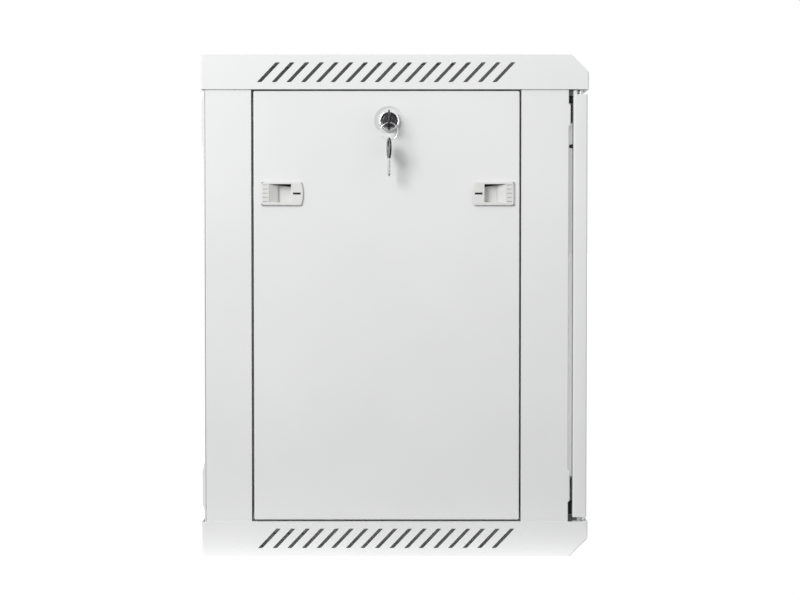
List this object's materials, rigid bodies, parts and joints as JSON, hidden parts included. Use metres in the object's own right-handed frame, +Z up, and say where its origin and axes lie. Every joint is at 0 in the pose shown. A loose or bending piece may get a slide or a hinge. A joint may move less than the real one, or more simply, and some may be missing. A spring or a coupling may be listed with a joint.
{
  "type": "wall-mount network cabinet",
  "caption": "Wall-mount network cabinet with a locking glass front door, removable latched and locking side panels, slotted covers, adjustable rack rails and a key ring.",
  "frame": {"origin": "middle of the flat underside", "axes": "+Z up, -Y out of the glass door at the front, +Y towards the wall, +X to the right seen from the front"},
  "size_m": [0.5692, 0.388, 0.5],
  "materials": {
    "powder_coat": "light grey powder coat with a fine orange-peel texture",
    "zinc_steel": "bright zinc plate, faintly mottled",
    "spring_steel": "bright drawn wire",
    "chrome": "polished chrome plate",
    "dark_nickel": "dark nickel plate with fine scratches",
    "latch_plastic": "light grey moulded plastic, fine satin texture",
    "rubber": "matt black rubber",
    "door_glass": "smoked toughened glass"
  },
  "bodies": {
    "cabinet": {"top_cover": "powder_coat", "bottom_cover": "powder_coat", "top_cable_plate": "powder_coat", "bottom_cable_plate": "powder_coat", "fan_plate": "powder_coat", "back_panel": "powder_coat", "left_front_pillar": "powder_coat", "right_front_pillar": "powder_coat", "left_rear_pillar": "powder_coat", "right_rear_pillar": "powder_coat", "left_top_rail_bracket": "zinc_steel", "left_bottom_rail_bracket": "zinc_steel", "right_top_rail_bracket": "zinc_steel", "right_bottom_rail_bracket": "zinc_steel", "lower_hinge_pin": "zinc_steel", "earth_stud": "zinc_steel"},
    "left_rail": {"left_rack_rail": "zinc_steel", "left_top_rail_bolt": "zinc_steel", "left_bottom_rail_bolt": "zinc_steel"},
    "right_rail": {"right_rack_rail": "zinc_steel", "right_top_rail_bolt": "zinc_steel", "right_bottom_rail_bolt": "zinc_steel"},
    "door": {"door_frame": "powder_coat", "door_glass": "door_glass", "left_glass_strip": "zinc_steel", "right_glass_strip": "zinc_steel", "upper_hinge_bracket": "zinc_steel", "lower_hinge_bracket": "zinc_steel", "door_lock_body": "chrome", "door_lock_nut": "zinc_steel", "left_door_bumper": "rubber", "right_door_bumper": "rubber", "upper_door_pad": "rubber", "lower_door_pad": "rubber", "upper_hinge_spring": "spring_steel"},
    "hinge_pin": {"upper_hinge_pin": "zinc_steel"},
    "door_lock": {"door_lock_plug": "dark_nickel", "door_lock_cam": "zinc_steel", "door_lock_cam_screw": "zinc_steel"},
    "left_panel": {"left_side_panel": "powder_coat", "left_lock_body": "chrome", "left_lock_nut": "zinc_steel"},
    "left_lock": {"left_lock_plug": "dark_nickel", "left_lock_cam": "zinc_steel", "left_lock_cam_screw": "zinc_steel"},
    "left_front_latch": {"left_front_latch": "latch_plastic"},
    "left_rear_latch": {"left_rear_latch": "latch_plastic"},
    "right_panel": {"right_side_panel": "powder_coat", "right_lock_body": "chrome", "right_lock_nut": "zinc_steel"},
    "right_lock": {"right_lock_plug": "dark_nickel", "right_lock_cam": "zinc_steel", "right_lock_cam_screw": "zinc_steel"},
    "right_front_latch": {"right_front_latch": "latch_plastic"},
    "right_rear_latch": {"right_rear_latch": "latch_plastic"},
    "panel_key": {"panel_key": "dark_nickel"},
    "key_ring": {"key_ring": "chrome"},
    "spare_key": {"spare_key": "dark_nickel"}
  },
  "joints": [
    {"name": "door_hinge", "type": "hinge", "parent": "cabinet", "child": "door", "pos_m": [-0.262, -0.1853, 0.25], "axis": [0, 0, -1], "range_deg": [0, 180]},
    {"name": "hinge_pin_pull", "type": "slide", "parent": "door", "child": "hinge_pin", "axis": [0, 0, -1], "range_m": [0, 0.007], "stiffness_N_per_m": 40, "springref_m": -0.004, "deforming": ["upper_hinge_spring"]},
    {"name": "door_lock_turn", "type": "hinge", "parent": "door", "child": "door_lock", "pos_m": [0.227, -0.192, 0.25], "axis": [0, -1, 0], "range_deg": [0, 90]},
    {"name": "left_panel_pull", "type": "slide", "parent": "cabinet", "child": "left_panel", "axis": [-1, 0, 0], "range_m": [0, 0.08]},
    {"name": "left_lock_turn", "type": "hinge", "parent": "left_panel", "child": "left_lock", "pos_m": [-0.2685, 0.0055, 0.4342], "axis": [-1, 0, 0], "range_deg": [0, 90]},
    {"name": "left_front_latch_slide", "type": "slide", "parent": "left_panel", "child": "left_front_latch", "axis": [0, -1, 0], "range_m": [0, 0.0045]},
    {"name": "left_rear_latch_slide", "type": "slide", "parent": "left_panel", "child": "left_rear_latch", "axis": [0, 1, 0], "range_m": [0, 0.0045]},
    {"name": "left_rail_depth", "type": "slide", "parent": "cabinet", "child": "left_rail", "axis": [0, 1, 0], "range_m": [0, 0.06]},
    {"name": "right_panel_pull", "type": "slide", "parent": "cabinet", "child": "right_panel", "axis": [1, 0, 0], "range_m": [0, 0.08]},
    {"name": "right_lock_turn", "type": "hinge", "parent": "right_panel", "child": "right_lock", "pos_m": [0.2685, 0.0055, 0.4342], "axis": [-1, 0, 0], "range_deg": [0, 90]},
    {"name": "right_front_latch_slide", "type": "slide", "parent": "right_panel", "child": "right_front_latch", "axis": [0, -1, 0], "range_m": [0, 0.0045]},
    {"name": "right_rear_latch_slide", "type": "slide", "parent": "right_panel", "child": "right_rear_latch", "axis": [0, 1, 0], "range_m": [0, 0.0045]},
    {"name": "right_rail_depth", "type": "slide", "parent": "cabinet", "child": "right_rail", "axis": [0, 1, 0], "range_m": [0, 0.06]},
    {"name": "key_pull", "type": "slide", "parent": "left_lock", "child": "panel_key", "axis": [-1, 0, 0], "range_m": [0, 0.03]},
    {"name": "key_ring_swing", "type": "hinge", "parent": "panel_key", "child": "key_ring", "pos_m": [-0.28755, 0.0055, 0.4342], "axis": [0, 1, 0], "range_deg": [-8, 60]},
    {"name": "spare_key_swing", "type": "hinge", "parent": "key_ring", "child": "spare_key", "pos_m": [-0.28755, 0.0055, 0.4116], "axis": [-0.1736, 0.9848, 0], "range_deg": [-6, 60]}
  ]
}
